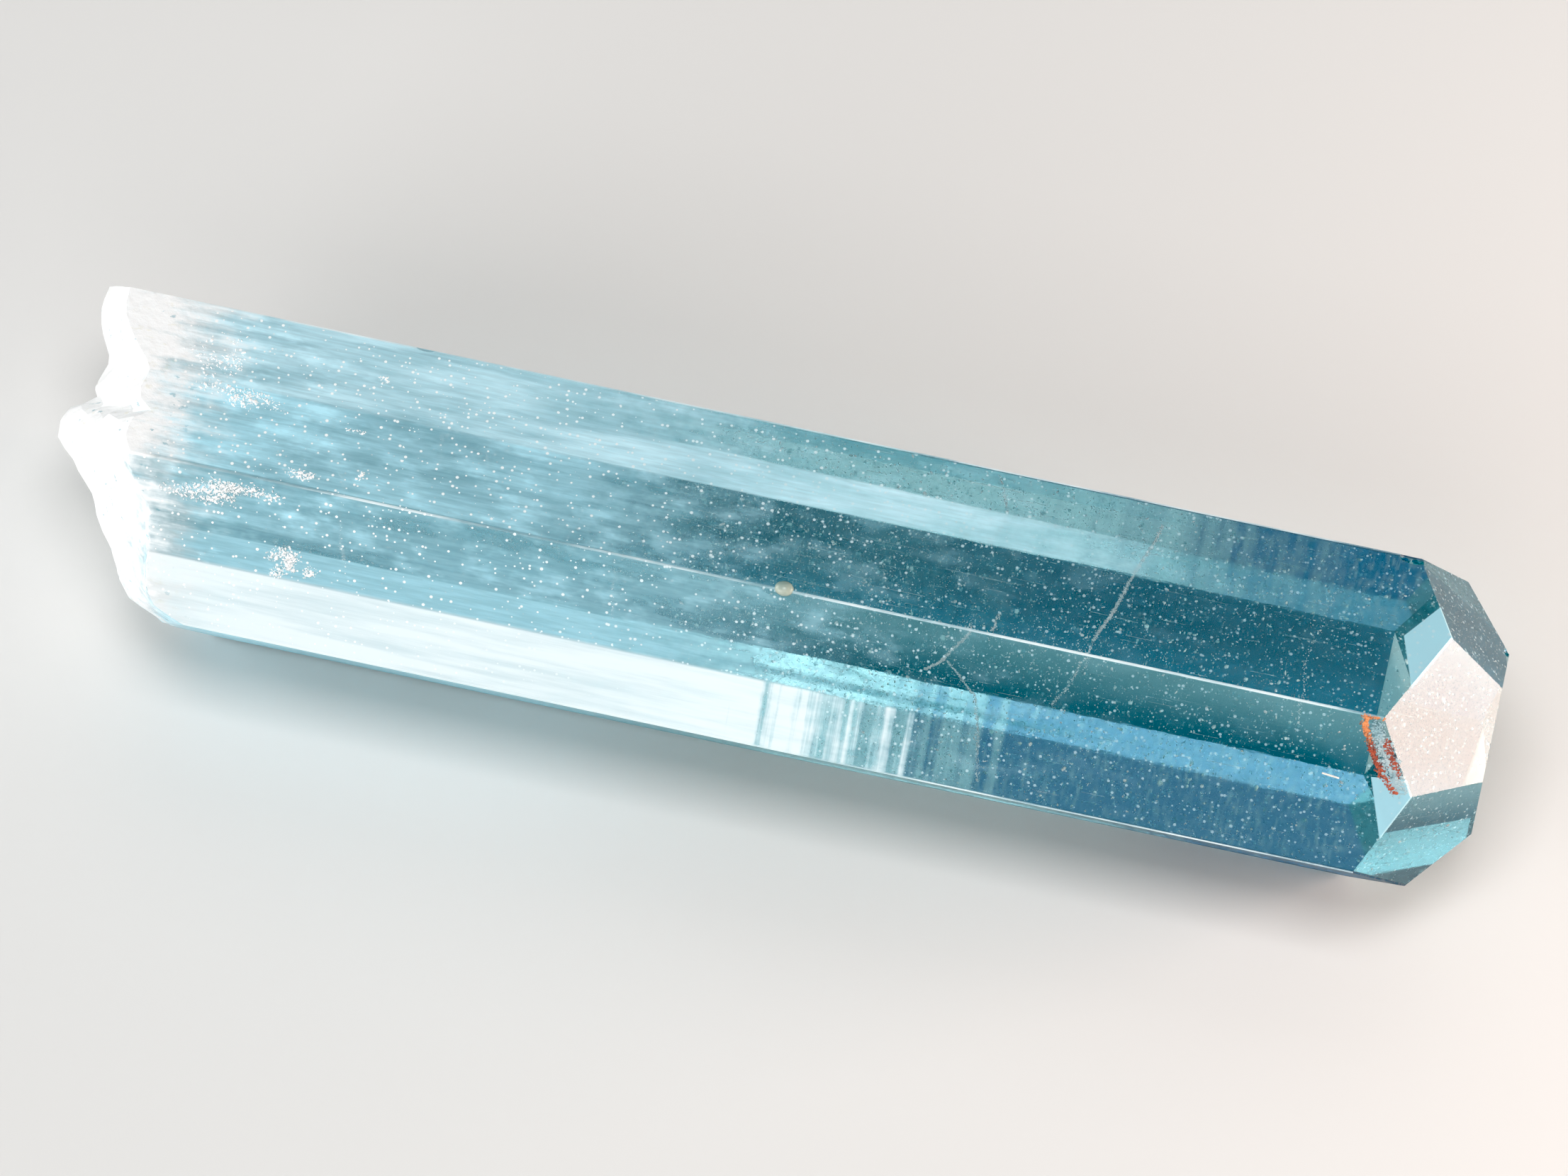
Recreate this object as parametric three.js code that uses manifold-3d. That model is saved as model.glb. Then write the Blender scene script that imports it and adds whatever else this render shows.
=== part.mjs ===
// An aquamarine: one hexagonal crystal of beryl that lies on a side face.
//
// Frame, in millimetres: +X runs along the crystal, from the broken base to the
// grown end, and +Z is up. The origin is on the surface that the crystal lies
// on, under the middle of its bounding box.
//
// Every grown face is one plane. The six sides run along the crystal, the six
// pyramid faces stand on the edges between them, and one flat face closes the
// end. The other end is broken off, and is the only surface that isn't flat.
import * as THREE from "three";
import { mergeVertices } from "three/addons/utils/BufferGeometryUtils.js";
import Module from "manifold-3d";

const wasm = await Module();
wasm.setup();

// A turn is an angle about the crystal, in degrees from +Y towards +Z.
// How far each side face stands from the crystal's axis at the grown end, and
// how much it leans in towards that end, in degrees.
const SIDES = [
  { turn: 30, away: 6.27, lean: 0 },
  { turn: 90, away: 6.31, lean: 0.1 },
  { turn: 150, away: 6.57, lean: 0 },
  { turn: 210, away: 6.3, lean: 0 },
  { turn: 270, away: 7.05, lean: 0 },
  { turn: 330, away: 7.75, lean: 0.1 },
];
// The pyramid faces, by where the edge that each makes with the flat end
// stands from the axis, and by slope: 0 on a side face and 90 on the flat end.
// Beryl's own slope is 45.1, and the largest face has grown a little flatter.
const PYRAMID = [
  { turn: 0, away: 3.06, slope: 45.1 },
  { turn: 56.5, away: 3.08, slope: 45.1 },
  { turn: 117.8, away: 2.97, slope: 46.4 },
  { turn: 175.2, away: 3.17, slope: 45.1 },
  { turn: 240, away: 3.17, slope: 45.1 },
  { turn: 300, away: 3.9, slope: 45.1 },
];
const END = 58.3; // from the furthest point of the base to the flat end
// A shallow face cut across one side, just before the end.
const SHOULDER = { turn: 30, away: 6.27, before: 4.1, slope: 9.7 };

// The broken base. A height is how far a point lies in from the furthest one.
// across and near are places over the section: across is measured towards
// ACROSS_TURN, and near towards ACROSS_TURN + 90.
const ACROSS_TURN = 32;
const BASE_OUTLINE = [
  // across, height
  [-8.4, 7.2],
  [-6.45, 6.1],
  [-5.5, 4.0],
  [-4.8, 3.5],
  [-2.2, 2.2],
  [-0.9, 0.95],
  [0.05, 0.1],
  [0.7, 0.0],
  [1.35, 0.3],
  [1.75, 1.35],
  [2.3, 1.0],
  [3.4, 1.5],
  [4.5, 1.0],
  [5.5, 0.8],
  [8.4, 1.0],
];
const RIDGE_AT = -1.4; // near of the base's furthest ridge
const FALL_AWAY = 0.05; // height gained per square millimetre off that ridge
const STEP = { near: -3.4, across: 1.5, rise: 0.9, blend: 0.35 };
const RIPPLES = [
  // rise, and waves per millimetre along across and near, and where each starts
  { rise: 0.22, across: 0.1, near: 0.23, start: 0.6 },
  { rise: 0.18, across: -0.17, near: 0.31, start: 2.1 },
  { rise: 0.1, across: 0.33, near: 0.47, start: 4.0 },
];
const BASE_GRID = 44; // cells each way over the blank

// Shell-shaped nicks where edges have been knocked: how far each lies before
// the end, its turn and distance from the axis, and its half-lengths along,
// around and out from the crystal.
const NICKS = [
  { before: 4.4, turn: 61, away: 7.22, half: [0.6, 0.28, 0.2] },
  { before: 0.05, turn: 33, away: 3.6, half: [0.22, 0.35, 0.28] },
  { before: 22.5, turn: 118.6, away: 7.48, half: [0.5, 0.2, 0.14] },
  { before: 37.0, turn: 182, away: 7.5, half: [0.7, 0.25, 0.2] },
  { before: 15.0, turn: 1, away: 8.1, half: [0.9, 0.3, 0.22] },
  { before: 2.5, turn: 208, away: 6.25, half: [0.3, 0.35, 0.2] },
  { before: 44.0, turn: 60.5, away: 7.36, half: [0.45, 0.22, 0.16] },
];
const NICK_GRID = [10, 7]; // cells round and down each

const BLANK = 20; // side of the square bar that every face is cut from
const CUTTER = 200; // side of the block that takes away all beyond a face
const X = new THREE.Vector3(1, 0, 0);

// The direction square to the axis at a turn.
function outwards(turn) {
  const a = THREE.MathUtils.degToRad(turn);
  return new THREE.Vector3(0, Math.cos(a), Math.sin(a));
}

// A closed three.js geometry as a solid.
function solidOf(geometry) {
  const plain = geometry.clone();
  plain.deleteAttribute("normal");
  plain.deleteAttribute("uv");
  const merged = mergeVertices(plain, 1e-4);
  return new wasm.Manifold(
    new wasm.Mesh({
      numProp: 3,
      vertProperties: merged.attributes.position.array,
      triVerts: new Uint32Array(merged.index.array),
    }),
  );
}

// A solid as a three.js geometry.
function geometryOf(solid) {
  const mesh = solid.getMesh();
  const geometry = new THREE.BufferGeometry();
  geometry.setAttribute(
    "position",
    new THREE.BufferAttribute(mesh.vertProperties, 3),
  );
  geometry.setIndex(new THREE.BufferAttribute(mesh.triVerts, 1));
  return geometry;
}

// The block beyond the plane that passes through point and faces normal.
function beyond(point, normal) {
  const block = new THREE.BoxGeometry(CUTTER, CUTTER, CUTTER);
  block.translate(CUTTER / 2, 0, 0);
  block.applyQuaternion(new THREE.Quaternion().setFromUnitVectors(X, normal));
  block.translate(point.x, point.y, point.z);
  return solidOf(block);
}

// A face that leans over towards the end: its slope is 0 on a side and 90 on
// the flat end. at is where it stands away from the axis.
function leaning(turn, away, at, slope) {
  const out = outwards(turn);
  const a = THREE.MathUtils.degToRad(slope);
  const normal = out
    .clone()
    .multiplyScalar(Math.cos(a))
    .addScaledVector(X, Math.sin(a));
  return beyond(out.multiplyScalar(away).addScaledVector(X, at), normal);
}

// Height between the points of an outline, eased at each so that none is sharp.
function along(outline, place) {
  const last = outline.length - 2;
  const found = outline.findIndex(([at], k) => k > 0 && place <= at);
  const k = found < 0 ? last : found - 1;
  const [from, low] = outline[k];
  const [to, high] = outline[k + 1];
  const share = THREE.MathUtils.clamp((place - from) / (to - from), 0, 1);
  const eased = 0.5 * share + 0.5 * THREE.MathUtils.smoothstep(share, 0, 1);
  return low + (high - low) * eased;
}

// Height of the broken base over one place of the section.
function baseHeight(across, near) {
  const off = near - RIDGE_AT;
  let height = along(BASE_OUTLINE, across) + FALL_AWAY * off * off;
  const behind = THREE.MathUtils.smoothstep(
    STEP.near - near,
    -STEP.blend,
    STEP.blend,
  );
  const under = THREE.MathUtils.smoothstep(
    STEP.across - across,
    -STEP.blend,
    STEP.blend,
  );
  height += STEP.rise * behind * under;
  for (const { rise, across: a, near: n, start } of RIPPLES) {
    const wave = Math.sin(2 * Math.PI * (a * across + n * near) + start);
    height += rise * 0.5 * (1 + wave);
  }
  return height;
}

// All that has broken away beyond the base.
function brokenAway() {
  const block = new THREE.BoxGeometry(
    BLANK,
    BLANK,
    BLANK,
    1,
    BASE_GRID,
    BASE_GRID,
  );
  const acrossWay = outwards(ACROSS_TURN);
  const nearWay = outwards(ACROSS_TURN + 90);
  const place = new THREE.Vector3();
  const position = block.attributes.position;
  for (let i = 0; i < position.count; i++) {
    place.fromBufferAttribute(position, i);
    const rough = place.x > 0;
    const height = baseHeight(place.dot(acrossWay), place.dot(nearWay));
    position.setX(i, rough ? height : -BLANK);
  }
  return solidOf(block);
}

// One shell-shaped nick.
function nick({ before, turn, away, half }) {
  const shell = new THREE.SphereGeometry(1, ...NICK_GRID);
  shell.scale(half[0], half[1], half[2]);
  shell.rotateX(THREE.MathUtils.degToRad(turn - 90));
  const centre = outwards(turn).multiplyScalar(away).addScaledVector(X, END - before);
  shell.translate(centre.x, centre.y, centre.z);
  return solidOf(shell);
}

function crystalGeometry() {
  const bar = new THREE.BoxGeometry(END, BLANK, BLANK);
  bar.translate(END / 2, 0, 0);
  const cuts = [
    ...SIDES.map(({ turn, away, lean }) => leaning(turn, away, END, lean)),
    ...PYRAMID.map(({ turn, away, slope }) => leaning(turn, away, END, slope)),
    leaning(SHOULDER.turn, SHOULDER.away, END - SHOULDER.before, SHOULDER.slope),
    brokenAway(),
    ...NICKS.map(nick),
  ];
  const solid = cuts.reduce((left, cut) => left.subtract(cut), solidOf(bar));
  const geometry = geometryOf(solid);
  geometry.computeBoundingBox();
  const { min, max } = geometry.boundingBox;
  geometry.translate(-(min.x + max.x) / 2, -(min.y + max.y) / 2, -min.z);
  geometry.computeVertexNormals();
  return geometry;
}

const aquamarine = new THREE.MeshStandardMaterial({
  color: new THREE.Color(0.42, 0.73, 0.81),
  roughness: 0.08,
  metalness: 0,
  flatShading: true,
  transparent: true,
  opacity: 0.55,
});

const crystal = new THREE.Mesh(crystalGeometry(), aquamarine);
crystal.name = "crystal";

const part = new THREE.Group();
part.add(crystal);

export default part;
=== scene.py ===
"""An aquamarine crystal: its finish, what is sealed in it, and its stage."""

import math
from functools import reduce
from types import SimpleNamespace

import bpy
import numpy as np
from bpy.props import FloatProperty, FloatVectorProperty, IntProperty, PointerProperty
from bpy.types import Operator, Panel, PropertyGroup
from mathutils import Matrix, Vector
from mathutils.bvhtree import BVHTree


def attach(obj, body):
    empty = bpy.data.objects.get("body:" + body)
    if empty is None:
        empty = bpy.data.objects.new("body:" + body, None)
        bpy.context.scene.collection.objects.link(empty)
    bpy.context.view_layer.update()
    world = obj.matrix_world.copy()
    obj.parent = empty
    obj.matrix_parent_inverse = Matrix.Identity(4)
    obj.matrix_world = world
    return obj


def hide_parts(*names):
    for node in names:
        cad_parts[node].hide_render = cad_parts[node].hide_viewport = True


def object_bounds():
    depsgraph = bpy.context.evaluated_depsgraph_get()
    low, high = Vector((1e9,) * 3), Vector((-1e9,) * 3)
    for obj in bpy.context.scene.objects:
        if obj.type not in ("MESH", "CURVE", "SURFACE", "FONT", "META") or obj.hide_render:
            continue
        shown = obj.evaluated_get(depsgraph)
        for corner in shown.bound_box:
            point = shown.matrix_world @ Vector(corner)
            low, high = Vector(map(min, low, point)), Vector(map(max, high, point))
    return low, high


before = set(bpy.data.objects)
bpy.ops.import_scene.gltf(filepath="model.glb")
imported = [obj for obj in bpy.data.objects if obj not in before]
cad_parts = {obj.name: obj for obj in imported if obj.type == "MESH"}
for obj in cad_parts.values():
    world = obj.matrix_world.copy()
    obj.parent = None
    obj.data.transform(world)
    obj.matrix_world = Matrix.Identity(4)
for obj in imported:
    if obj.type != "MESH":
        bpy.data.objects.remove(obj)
CAD_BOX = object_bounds()

bl_info = {
    "name": "Aquamarine Crystal",
    "version": (1, 0, 0),
    "blender": (4, 5, 0),
    "location": "View3D > Sidebar > Aquamarine",
    "description": "Builds an aquamarine crystal, its inclusions and its stage",
    "category": "Object",
}

# ---------------------------------------------------------------- the frame
# The nose is the furthest point of the broken base, and the end is the flat face at
# the other end. Across and near are measured over the section, from the crystal's
# axis. A turn is an angle about the axis, from +Y towards +Z.
MM = 0.001
AXIS = Vector((0.0, -0.36 * MM, 7.05 * MM))
NOSE = CAD_BOX[0][0]
END = CAD_BOX[1][0]
LENGTH = END - NOSE
ALONG = Vector((1.0, 0.0, 0.0))
ACROSS_TURN = 32.0
NEAR_TURN = ACROSS_TURN + 90.0
# The side faces that the finish tells apart, by turn, and how far each stands from
# the axis in millimetres: the lower, the top, the front and the rear one.
LOWER, TOP, FRONT, REAR = 30, 90, 150, 210
SIDE_AWAY = {LOWER: 6.27, TOP: 6.31, FRONT: 6.57, REAR: 6.3}


def outwards(turn):
    """The direction square to the crystal's axis at a turn."""
    angle = math.radians(turn)
    return Vector((0.0, math.cos(angle), math.sin(angle)))


ACROSS = outwards(ACROSS_TURN)
NEAR = outwards(NEAR_TURN)


# ---------------------------------------------------------------- settings
class CrystalSettings(PropertyGroup):
    """What the crystal is made of, and how much is sealed in it"""

    ior: FloatProperty(
        name="IOR", description="Refraction of beryl", default=1.577, min=1.0
    )
    depth_colour: FloatVectorProperty(
        name="Depth colour",
        description="Colour that light takes as it goes through the crystal",
        subtype="COLOR",
        size=3,
        default=(0.10, 0.68, 0.74),
        min=0.0,
        max=1.0,
    )
    depth_density: FloatProperty(
        name="Depth density",
        description="How fast the crystal colours light, per metre",
        default=50.0,
        min=0.0,
    )
    # Painted highlight: how far in from a natural edge the pale line painted along it
    # reaches.
    edge_width: FloatProperty(
        name="Edge width",
        description="How deep the worn line along a natural edge goes",
        default=0.033 * MM,
        unit="LENGTH",
        precision=6,
    )
    haze_count: IntProperty(
        name="Haze specks", description="Fine specks in the crystal", default=40000
    )
    flake_count: IntProperty(
        name="Flakes", description="Larger white flakes in the crystal", default=9000
    )
    tube_count: IntProperty(
        name="Tubes", description="Fine tubes along the crystal", default=700
    )


class StageSettings(PropertyGroup):
    """The floor and the camera"""

    floor_colour: FloatVectorProperty(
        name="Floor colour",
        description="Colour of the plain pale floor",
        subtype="COLOR",
        size=3,
        default=(0.74, 0.74, 0.73),
        min=0.0,
        max=1.0,
    )
    lens: FloatProperty(
        name="Lens", description="Focal length in millimetres", default=250.0
    )
    roll: FloatProperty(
        name="Roll",
        description="How far the crystal slopes down over the picture",
        default=math.radians(11.95),
        subtype="ANGLE",
    )
    view_width: FloatProperty(
        name="View width",
        description="Width of what the camera sees at the crystal",
        default=61.9 * MM,
        unit="LENGTH",
    )


# ---------------------------------------------------------------- small tools
def only(piece):
    """Leaves one object selected and active."""
    bpy.ops.object.select_all(action="DESELECT")
    piece.select_set(True)
    bpy.context.view_layer.objects.active = piece


def aim(piece, origin, target):
    """Points an object's -Z from origin at target."""
    piece.location = origin
    piece.rotation_euler = (target - origin).to_track_quat("-Z", "Y").to_euler()


LEAST_FACE = 2.0 * MM * MM  # smaller ones belong to the base and the nicks


def flat_faces():
    """Outward normal and offset of each flat face of the CAD crystal."""
    grouped = {}
    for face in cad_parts["crystal"].data.polygons:
        key = tuple(round(value, 3) for value in face.normal)
        grouped.setdefault(key, []).append(face)
    faces = []
    for key, members in grouped.items():
        area = sum(face.area for face in members)
        if area > LEAST_FACE:
            normal = Vector(key).normalized()
            offset = sum(normal.dot(face.center) * face.area for face in members)
            faces.append((np.array(normal), offset / area))
    return faces


def solid_tree():
    """The CAD crystal's surface, for finding what lies behind a point."""
    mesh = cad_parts["crystal"].data
    corners = [vertex.co for vertex in mesh.vertices]
    return BVHTree.FromPolygons(corners, [tuple(f.vertices) for f in mesh.polygons])


FACES = flat_faces()
SURFACE = solid_tree()


def within(points, margin):
    """Which points lie inside every flat face by more than a margin."""
    clear = np.ones(len(points), bool)
    for normal, offset in FACES:
        clear &= points @ normal < offset - margin
    return clear


def past_base(points):
    """How far each point lies from the broken base, along the crystal."""
    return np.array([SURFACE.ray_cast(Vector(p), -ALONG)[3] or 0.0 for p in points])


def clouds(points, size, seed):
    """Smooth noise from 0 to 1 at many points: size is how wide its patches are."""
    cells = 24  # along each side of the pattern, before it repeats
    lattice = np.random.default_rng(seed).random((cells, cells, cells))
    spot = points / np.asarray(size)
    low = np.floor(spot).astype(int)
    share = spot - low
    share = share * share * (3.0 - 2.0 * share)
    total = np.zeros(len(points))
    for corner in np.ndindex(2, 2, 2):
        index = (low + corner) % cells
        weight = np.prod(np.where(corner, share, 1.0 - share), axis=1)
        total += weight * lattice[index[:, 0], index[:, 1], index[:, 2]]
    return total


def places(before, across, near):
    """Points from arrays of millimetres before the end, across and near."""
    middle = np.array(AXIS) + np.outer(END - np.asarray(before) * MM, ALONG)
    section = np.outer(across, ACROSS) + np.outer(near, NEAR)
    return middle + section * MM


def sizes(rng, count, usual, spread, most=math.inf):
    """Grain sizes in metres, from the usual and the largest in millimetres."""
    return np.minimum(rng.lognormal(math.log(usual), spread, count), most) * MM


def turns(count, rng):
    """Rotation matrices that point every way alike."""
    quaternions = rng.normal(size=(count, 4))
    quaternions /= np.linalg.norm(quaternions, axis=1)[:, None]
    w, x, y, z = quaternions.T
    rows = (
        (1 - 2 * (y * y + z * z), 2 * (x * y - w * z), 2 * (x * z + w * y)),
        (2 * (x * y + w * z), 1 - 2 * (x * x + z * z), 2 * (y * z - w * x)),
        (2 * (x * z - w * y), 2 * (y * z + w * x), 1 - 2 * (x * x + y * y)),
    )
    return np.moveaxis(np.array(rows), 2, 0)


def template(kind):
    """Vertices and triangles, about 1 across, of a grain that is copied often."""
    bpy.ops.object.select_all(action="DESELECT")
    if kind == "chip":
        bpy.ops.mesh.primitive_cone_add(vertices=3, radius1=0.62, depth=0.7)
    elif kind == "flake":
        bpy.ops.mesh.primitive_cylinder_add(vertices=5, radius=0.55, depth=0.25)
    elif kind == "needle":
        bpy.ops.mesh.primitive_cylinder_add(vertices=4, radius=0.5, depth=1.0)
    model = bpy.context.active_object
    bpy.ops.object.mode_set(mode="EDIT")
    if kind == "needle":
        bpy.ops.transform.rotate(
            value=math.radians(90), orient_axis="Y", center_override=(0, 0, 0)
        )
    bpy.ops.mesh.quads_convert_to_tris()
    bpy.ops.object.mode_set(mode="OBJECT")
    vertices = np.array([tuple(v.co) for v in model.data.vertices])
    faces = np.array([tuple(f.vertices) for f in model.data.polygons])
    bpy.data.objects.remove(model)
    return vertices, faces


def scatter(name, kind, centres, scales, matrices=None):
    """One piece made of copies of a grain, each scaled, turned and put in place."""
    vertices, faces = template(kind)
    points = vertices[None] * scales[:, None, :]
    if matrices is not None:
        points = np.einsum("nij,nvj->nvi", matrices, points)
    points = points + centres[:, None, :]
    count = len(centres)
    offsets = np.arange(count)[:, None, None] * len(vertices)
    triangles = (faces[None] + offsets).reshape(-1, 3)
    mesh = bpy.data.meshes.new(name)
    mesh.vertices.add(count * len(vertices))
    mesh.vertices.foreach_set("co", points.astype(np.float32).ravel())
    mesh.loops.add(triangles.size)
    mesh.loops.foreach_set("vertex_index", triangles.astype(np.int32).ravel())
    mesh.polygons.add(len(triangles))
    mesh.polygons.foreach_set(
        "loop_start", np.arange(0, triangles.size, 3, dtype=np.int32)
    )
    mesh.update(calc_edges=True)
    mesh.validate()
    piece = bpy.data.objects.new(name, mesh)
    bpy.context.scene.collection.objects.link(piece)
    return piece


def settle(piece, material):
    """Gives a sealed piece its material and puts it on the crystal's body."""
    piece.data.materials.append(material)
    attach(piece, "root")


# ---------------------------------------------------------------- materials
def new_material(name):
    """A new material, its node tree, its Principled BSDF and its output."""
    material = bpy.data.materials.new(name)
    material.use_nodes = True
    nodes = material.node_tree.nodes
    coat, output = nodes["Principled BSDF"], nodes["Material Output"]
    return material, material.node_tree, coat, output


def node(tree, kind, **values):
    """A node of a tree, with its properties set."""
    made = tree.nodes.new("ShaderNode" + kind)
    for key, value in values.items():
        setattr(made, key, value)
    return made


def feed(tree, socket, value):
    """Links a socket into an input, or sets the input to a plain value."""
    if isinstance(value, bpy.types.NodeSocket):
        tree.links.new(value, socket)
    else:
        socket.default_value = value


def arithmetic(tree, operation, first, second=0.0, third=0.0, clamp=False):
    """A Math node fed by sockets or numbers."""
    made = node(tree, "Math", operation=operation, use_clamp=clamp)
    for slot, value in enumerate((first, second, third)):
        feed(tree, made.inputs[slot], value)
    return made.outputs[0]


def product(tree, *values):
    """The product of sockets or numbers."""
    return reduce(lambda one, two: arithmetic(tree, "MULTIPLY", one, two), values)


def highest(tree, *values):
    """The highest of sockets or numbers."""
    return reduce(lambda one, two: arithmetic(tree, "MAXIMUM", one, two), values)


def shifted(tree, value, pattern, amount):
    """A value, moved by a pattern times an amount."""
    return arithmetic(tree, "MULTIPLY_ADD", pattern, amount, value)


def ramp(tree, value, low, high, start=0.0, stop=1.0):
    """value, from low to high, mapped smoothly onto start to stop."""
    made = node(tree, "MapRange", interpolation_type="SMOOTHSTEP")
    for key, given in (
        ("Value", value),
        ("From Min", low),
        ("From Max", high),
        ("To Min", start),
        ("To Max", stop),
    ):
        feed(tree, made.inputs[key], given)
    return made.outputs[0]


def blend(tree, share, first, second):
    """Mixes two colours by share."""
    made = node(tree, "MixRGB")
    feed(tree, made.inputs[0], share)
    for slot, colour in ((1, first), (2, second)):
        opaque = colour
        if not isinstance(colour, bpy.types.NodeSocket):
            opaque = (*colour, 1.0)
        feed(tree, made.inputs[slot], opaque)
    return made.outputs[0]


def new_group(name, inputs, outputs):
    """A shader node group with named float inputs and its outputs by type."""
    tree = bpy.data.node_groups.new(name, "ShaderNodeTree")
    for key, value in inputs.items():
        socket = tree.interface.new_socket(
            name=key, in_out="INPUT", socket_type="NodeSocketFloat"
        )
        socket.default_value = value
    for key, kind in outputs.items():
        tree.interface.new_socket(name=key, in_out="OUTPUT", socket_type=kind)
    entry = tree.nodes.new("NodeGroupInput")
    leave = tree.nodes.new("NodeGroupOutput")
    return tree, entry, leave


def use_group(tree, name, **values):
    """Places a group in a tree with its own values."""
    made = tree.nodes.new("ShaderNodeGroup")
    made.node_tree = bpy.data.node_groups[name]
    for key, value in values.items():
        feed(tree, made.inputs[key.replace("_", " ")], value)
    return made.outputs


def make_place_group():
    """Object coordinates as millimetres from the nose of the base and the axis."""
    tree, _, leave = new_group(
        "crystal place",
        {},
        {"Spot": "NodeSocketVector", "From Nose": "NodeSocketFloat"},
    )
    where = node(tree, "TexCoord")
    moved = node(tree, "VectorMath", operation="SUBTRACT")
    tree.links.new(where.outputs["Object"], moved.inputs[0])
    moved.inputs[1].default_value = (NOSE, AXIS.y, AXIS.z)
    scaled = node(tree, "VectorMath", operation="SCALE")
    tree.links.new(moved.outputs["Vector"], scaled.inputs[0])
    scaled.inputs["Scale"].default_value = 1 / MM
    tree.links.new(scaled.outputs["Vector"], leave.inputs["Spot"])
    axes = node(tree, "SeparateXYZ")
    tree.links.new(scaled.outputs["Vector"], axes.inputs[0])
    tree.links.new(axes.outputs["X"], leave.inputs["From Nose"])


def make_grain_group():
    """Noise that is stretched along or around the crystal."""
    tree, entry, leave = new_group(
        "growth grain",
        {"Along": 1.0, "Around": 1.0, "Detail": 3.0, "Offset": 0.0},
        {"Mask": "NodeSocketFloat"},
    )
    spot = use_group(tree, "crystal place")["Spot"]
    rates = node(tree, "CombineXYZ")
    for axis, key in (("X", "Along"), ("Y", "Around"), ("Z", "Around")):
        tree.links.new(entry.outputs[key], rates.inputs[axis])
    stretched = node(tree, "VectorMath", operation="MULTIPLY_ADD")
    tree.links.new(spot, stretched.inputs[0])
    tree.links.new(rates.outputs[0], stretched.inputs[1])
    tree.links.new(entry.outputs["Offset"], stretched.inputs[2])
    pattern = node(tree, "TexNoise")
    pattern.inputs["Scale"].default_value = 1.0
    pattern.inputs["Roughness"].default_value = 0.58
    tree.links.new(entry.outputs["Detail"], pattern.inputs["Detail"])
    tree.links.new(stretched.outputs["Vector"], pattern.inputs["Vector"])
    tree.links.new(pattern.outputs["Fac"], leave.inputs["Mask"])


def make_speck_group():
    """Small round specks, so many cells per millimetre, and no two alike."""
    tree, entry, leave = new_group(
        "specks", {"Scale": 3.0, "Size": 0.2, "Share": 0.5}, {"Mask": "NodeSocketFloat"}
    )
    spot = use_group(tree, "crystal place")["Spot"]
    cells = node(tree, "TexVoronoi")
    tree.links.new(spot, cells.inputs["Vector"])
    tree.links.new(entry.outputs["Scale"], cells.inputs["Scale"])
    pick = node(tree, "SeparateXYZ")
    tree.links.new(cells.outputs["Color"], pick.inputs[0])
    wide = product(tree, entry.outputs["Size"], pick.outputs["Y"])
    inside = ramp(
        tree, cells.outputs["Distance"], product(tree, wide, 0.6), wide, 1.0, 0.0
    )
    present = arithmetic(tree, "LESS_THAN", pick.outputs["X"], entry.outputs["Share"])
    tree.links.new(product(tree, inside, present), leave.inputs["Mask"])


def specks(tree, scale, size, share):
    """Specks in a share of the cells, of which there are scale per millimetre."""
    return use_group(tree, "specks", Scale=scale, Size=size, Share=share)["Mask"]


def make_face_group():
    """1 on the side face that has this normal and lies this far from the axis."""
    tree, entry, leave = new_group(
        "side face", {"Y": 0.0, "Z": 0.0, "Away": 6.0}, {"Mask": "NodeSocketFloat"}
    )
    spot = use_group(tree, "crystal place")["Spot"]
    normal = node(tree, "CombineXYZ")
    tree.links.new(entry.outputs["Y"], normal.inputs["Y"])
    tree.links.new(entry.outputs["Z"], normal.inputs["Z"])
    dot = node(tree, "VectorMath", operation="DOT_PRODUCT")
    tree.links.new(spot, dot.inputs[0])
    tree.links.new(normal.outputs[0], dot.inputs[1])
    short = arithmetic(tree, "SUBTRACT", dot.outputs["Value"], entry.outputs["Away"])
    tree.links.new(ramp(tree, short, -0.12, -0.06), leave.inputs["Mask"])


def beyond(tree, way, least, soft):
    """1 where a point lies further along way than least, in millimetres."""
    spot = use_group(tree, "crystal place")["Spot"]
    dot = node(tree, "VectorMath", operation="DOT_PRODUCT")
    tree.links.new(spot, dot.inputs[0])
    dot.inputs[1].default_value = way
    return ramp(tree, dot.outputs["Value"], least - soft / 2, least + soft / 2)


def painted_edge_highlight(tree, turn, corner, lean=0.0):
    """1 on the thin painted highlight along a natural edge, corner away from the axis.

    The edge draws in towards the grown end by lean for each millimetre.
    """
    width = bpy.context.scene.aqua_crystal.edge_width / MM
    return beyond(tree, outwards(turn) + ALONG * lean, corner - width, 0.02)


def on_face(tree, turn):
    """1 on the side face at a turn and 0 elsewhere."""
    way, away = outwards(turn), SIDE_AWAY[turn]
    return use_group(tree, "side face", Y=way.y, Z=way.z, Away=away)["Mask"]


def grain(tree, along, around, detail=3.0, offset=0.0):
    """Noise with so many patches per millimetre along and around the crystal."""
    return use_group(
        tree, "growth grain", Along=along, Around=around, Detail=detail, Offset=offset
    )["Mask"]


def matt_mineral(name, colour, other, roughness=0.7):
    """Matt mineral whose colour wanders between two."""
    material, tree, coat, _ = new_material(name)
    patches = ramp(tree, grain(tree, 0.9, 0.9), 0.35, 0.65)
    tree.links.new(blend(tree, patches, colour, other), coat.inputs["Base Color"])
    coat.inputs["Roughness"].default_value = roughness
    return material


# ---------------------------------------------------------------- the finish
# Every reach along the crystal is in millimetres from the nose.
MILKINESS = 0.57
MATT_ROUGHNESS = 0.4
RELIEF_DEPTH = 0.12 * MM
CLEAR = (1, 1, 1)
# Painted shade: the dark blue that tints the glass on the two matt faces by the grown end.
PAINTED_SHADE_TINT = (0.0, 0.025, 0.12)
MILK_TINT = (0.52, 0.87, 1.0)
PALE_TINT = (0.93, 0.99, 1.0)
BASE_WHITE = (0.98, 0.99, 0.99)
STAIN_TINT = (0.80, 0.76, 0.58)
CRACK_TINT = (0.35, 0.52, 0.58)
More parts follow.
